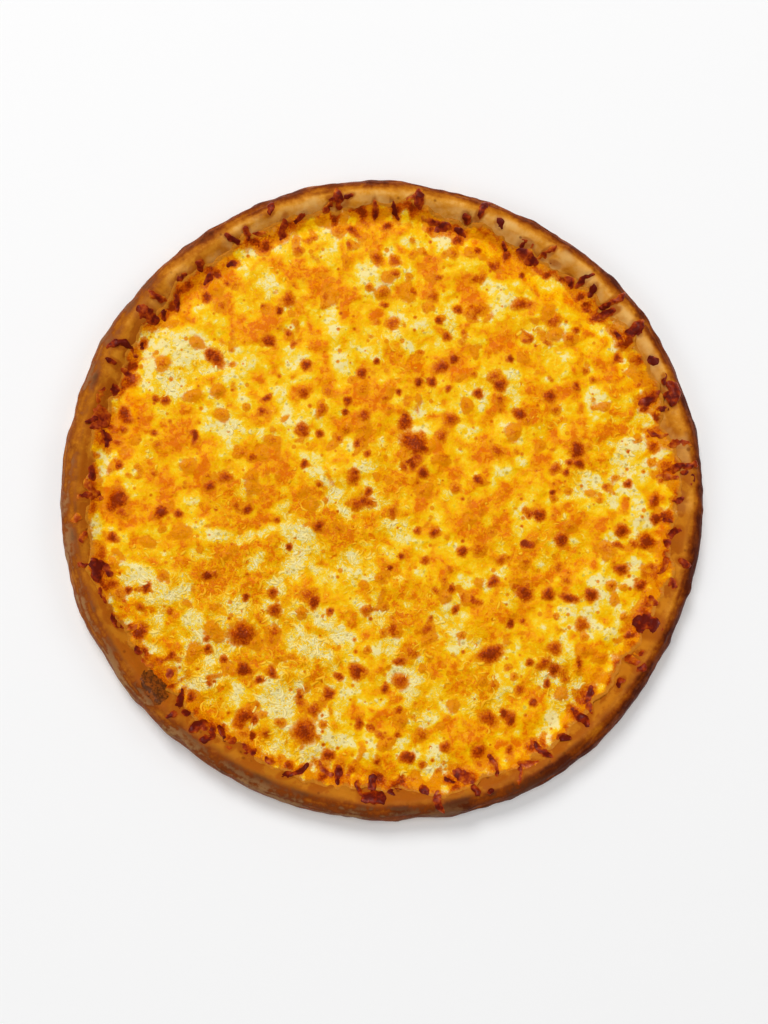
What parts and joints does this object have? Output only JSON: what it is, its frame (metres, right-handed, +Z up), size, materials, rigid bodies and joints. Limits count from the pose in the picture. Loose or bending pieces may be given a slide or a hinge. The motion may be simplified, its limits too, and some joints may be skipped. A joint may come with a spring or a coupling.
{
  "type": "cheese pizza",
  "caption": "Whole round baked cheese pizza: low rounded bread rim round a melted white and orange cheese top with toasted blisters, lying flat on a flat underside.",
  "frame": {"origin": "middle of the flat underside", "axes": "+Z up out of the cheese; +X to the right and +Y away from the viewer, as the pizza is shown from above"},
  "size_m": [0.3562, 0.3554, 0.0199],
  "materials": {
    "baked_crust": "satin",
    "melted_cheese": "glossy"
  },
  "bodies": {
    "root": {"crust": "baked_crust", "cheese": "melted_cheese"}
  },
  "joints": []
}
